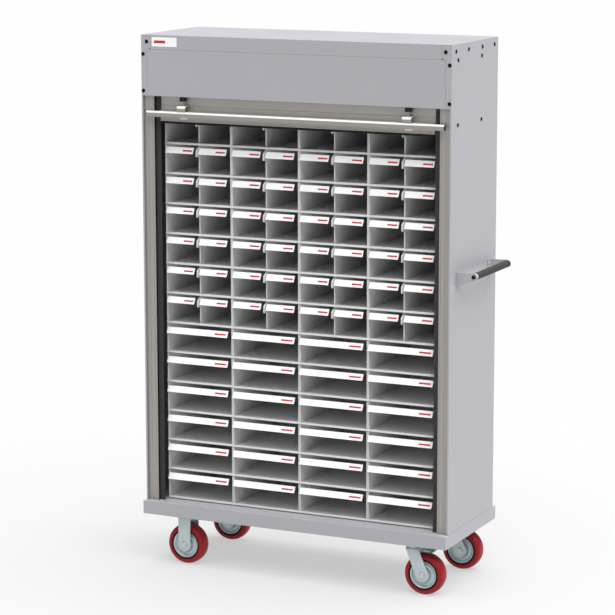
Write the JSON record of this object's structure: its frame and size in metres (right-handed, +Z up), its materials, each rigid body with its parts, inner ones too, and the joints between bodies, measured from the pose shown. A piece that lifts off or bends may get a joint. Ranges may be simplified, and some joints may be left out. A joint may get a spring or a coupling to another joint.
{
  "type": "medication cart",
  "caption": "Upright sheet-steel medication cart on castors: a roller shutter pulls down over rows of open plastic compartments, with a push handle on one side.",
  "frame": {"origin": "on the floor, under the middle of the whole cart with its side handle", "axes": "+Z up, -Y out of the open front, +X towards the side with the push handle"},
  "size_m": [1.121, 0.42, 1.703],
  "materials": {
    "cabinet_paint": "light grey powder coat",
    "shutter_aluminium": "grey-brown anodised aluminium",
    "bright_aluminium": "bright anodised aluminium",
    "brush": "black nylon pile",
    "bin_plastic": "light grey moulded plastic",
    "steel": "bright steel",
    "zinc_steel": "zinc-plated pressed steel",
    "grip": "dark grey foam rubber",
    "tyre": "dark red polyurethane",
    "pedal": "green moulded plastic",
    "black_rubber": "black rubber"
  },
  "bodies": {
    "cart_body": {"base_tray": "cabinet_paint", "left_side_panel": "cabinet_paint", "right_side_panel": "cabinet_paint", "back_panel": "cabinet_paint", "roof_panel": "cabinet_paint", "header_cover": "cabinet_paint", "shutter_box_floor": "cabinet_paint", "left_guide_rail": "shutter_aluminium", "right_guide_rail": "shutter_aluminium", "left_brush_strip": "brush", "right_brush_strip": "brush", "shutter_shaft": "steel", "shutter_spring": "steel", "left_drum_bracket": "zinc_steel", "right_drum_bracket": "zinc_steel", "handle_front_bracket": "cabinet_paint", "handle_rear_bracket": "cabinet_paint", "handle_bar": "steel", "handle_grip": "grip", "lower_bin_stack_1": "bin_plastic", "lower_bin_stack_2": "bin_plastic", "lower_bin_stack_3": "bin_plastic", "lower_bin_stack_4": "bin_plastic", "upper_bin_stack_1": "bin_plastic", "upper_bin_stack_2": "bin_plastic", "upper_bin_stack_3": "bin_plastic", "upper_bin_stack_4": "bin_plastic", "front_left_fork": "zinc_steel", "front_left_axle": "steel", "rear_left_fork": "zinc_steel", "rear_left_axle": "steel", "front_right_swivel_plate": "zinc_steel", "rear_right_swivel_plate": "zinc_steel"},
    "shutter": {"curtain_leaf_1": "shutter_aluminium", "bottom_bar": "shutter_aluminium", "bottom_seal": "black_rubber", "pull_rail": "bright_aluminium", "left_stop": "bright_aluminium", "right_stop": "bright_aluminium"},
    "curtain_2": {"curtain_leaf_2": "shutter_aluminium"},
    "curtain_3": {"curtain_leaf_3": "shutter_aluminium"},
    "curtain_4": {"curtain_leaf_4": "shutter_aluminium"},
    "curtain_5": {"curtain_leaf_5": "shutter_aluminium"},
    "curtain_6": {"curtain_leaf_6": "shutter_aluminium"},
    "curtain_7": {"curtain_leaf_7": "shutter_aluminium"},
    "roller": {"shutter_drum": "zinc_steel"},
    "front_left_wheel": {"front_left_hub": "zinc_steel", "front_left_tyre": "tyre"},
    "rear_left_wheel": {"rear_left_hub": "zinc_steel", "rear_left_tyre": "tyre"},
    "front_right_swivel": {"front_right_fork": "zinc_steel", "front_right_axle": "steel"},
    "front_right_wheel": {"front_right_hub": "zinc_steel", "front_right_tyre": "tyre"},
    "front_right_pedal": {"front_right_brake_pedal": "pedal"},
    "rear_right_swivel": {"rear_right_fork": "zinc_steel", "rear_right_axle": "steel"},
    "rear_right_wheel": {"rear_right_hub": "zinc_steel", "rear_right_tyre": "tyre"},
    "rear_right_pedal": {"rear_right_brake_pedal": "pedal"}
  },
  "joints": [
    {"name": "shutter_slide", "type": "slide", "parent": "cart_body", "child": "shutter", "axis": [0, 0, -1], "range_m": [0, 1.2192]},
    {"name": "curtain_2_slide", "type": "slide", "parent": "cart_body", "child": "curtain_2", "axis": [0, 0, -1], "range_m": [0, 1.04553]},
    {"name": "curtain_3_slide", "type": "slide", "parent": "cart_body", "child": "curtain_3", "axis": [0, 0, -1], "range_m": [0, 0.87136]},
    {"name": "curtain_4_slide", "type": "slide", "parent": "cart_body", "child": "curtain_4", "axis": [0, 0, -1], "range_m": [0, 0.69719]},
    {"name": "curtain_5_slide", "type": "slide", "parent": "cart_body", "child": "curtain_5", "axis": [0, 0, -1], "range_m": [0, 0.52301]},
    {"name": "curtain_6_slide", "type": "slide", "parent": "cart_body", "child": "curtain_6", "axis": [0, 0, -1], "range_m": [0, 0.34884]},
    {"name": "curtain_7_slide", "type": "slide", "parent": "cart_body", "child": "curtain_7", "axis": [0, 0, -1], "range_m": [0, 0.17467]},
    {"name": "roller_spin", "type": "hinge", "parent": "cart_body", "child": "roller", "pos_m": [-0.034, -0.044, 1.556], "axis": [1, 0, 0], "range_deg": [0, 1075.7]},
    {"name": "front_left_wheel_spin", "type": "hinge", "parent": "cart_body", "child": "front_left_wheel", "pos_m": [-0.425, -0.156, 0.065], "axis": [0, 1, 0], "continuous": true},
    {"name": "rear_left_wheel_spin", "type": "hinge", "parent": "cart_body", "child": "rear_left_wheel", "pos_m": [-0.425, 0.156, 0.065], "axis": [0, 1, 0], "continuous": true},
    {"name": "front_right_castor_swivel", "type": "hinge", "parent": "cart_body", "child": "front_right_swivel", "pos_m": [0.369, -0.156, 0.15], "axis": [0, 0, 1], "continuous": true},
    {"name": "front_right_wheel_spin", "type": "hinge", "parent": "front_right_swivel", "child": "front_right_wheel", "pos_m": [0.405, -0.156, 0.065], "axis": [0, 1, 0], "continuous": true},
    {"name": "front_right_brake", "type": "hinge", "parent": "front_right_swivel", "child": "front_right_pedal", "pos_m": [0.395, -0.156, 0.1379], "axis": [0, 1, 0], "range_deg": [0, 10]},
    {"name": "rear_right_castor_swivel", "type": "hinge", "parent": "cart_body", "child": "rear_right_swivel", "pos_m": [0.369, 0.156, 0.15], "axis": [0, 0, 1], "continuous": true},
    {"name": "rear_right_wheel_spin", "type": "hinge", "parent": "rear_right_swivel", "child": "rear_right_wheel", "pos_m": [0.405, 0.156, 0.065], "axis": [0, 1, 0], "continuous": true},
    {"name": "rear_right_brake", "type": "hinge", "parent": "rear_right_swivel", "child": "rear_right_pedal", "pos_m": [0.395, 0.156, 0.1379], "axis": [0, 1, 0], "range_deg": [0, 10]}
  ],
  "couplings": [
    {"joint": "curtain_2_slide", "follows": "shutter_slide", "ratio": 0.85714},
    {"joint": "curtain_3_slide", "follows": "shutter_slide", "ratio": 0.71429},
    {"joint": "curtain_4_slide", "follows": "shutter_slide", "ratio": 0.57143},
    {"joint": "curtain_5_slide", "follows": "shutter_slide", "ratio": 0.42857},
    {"joint": "curtain_6_slide", "follows": "shutter_slide", "ratio": 0.28571},
    {"joint": "curtain_7_slide", "follows": "shutter_slide", "ratio": 0.14286},
    {"joint": "roller_spin", "follows": "shutter_slide", "rad_per_m": 15.385}
  ]
}
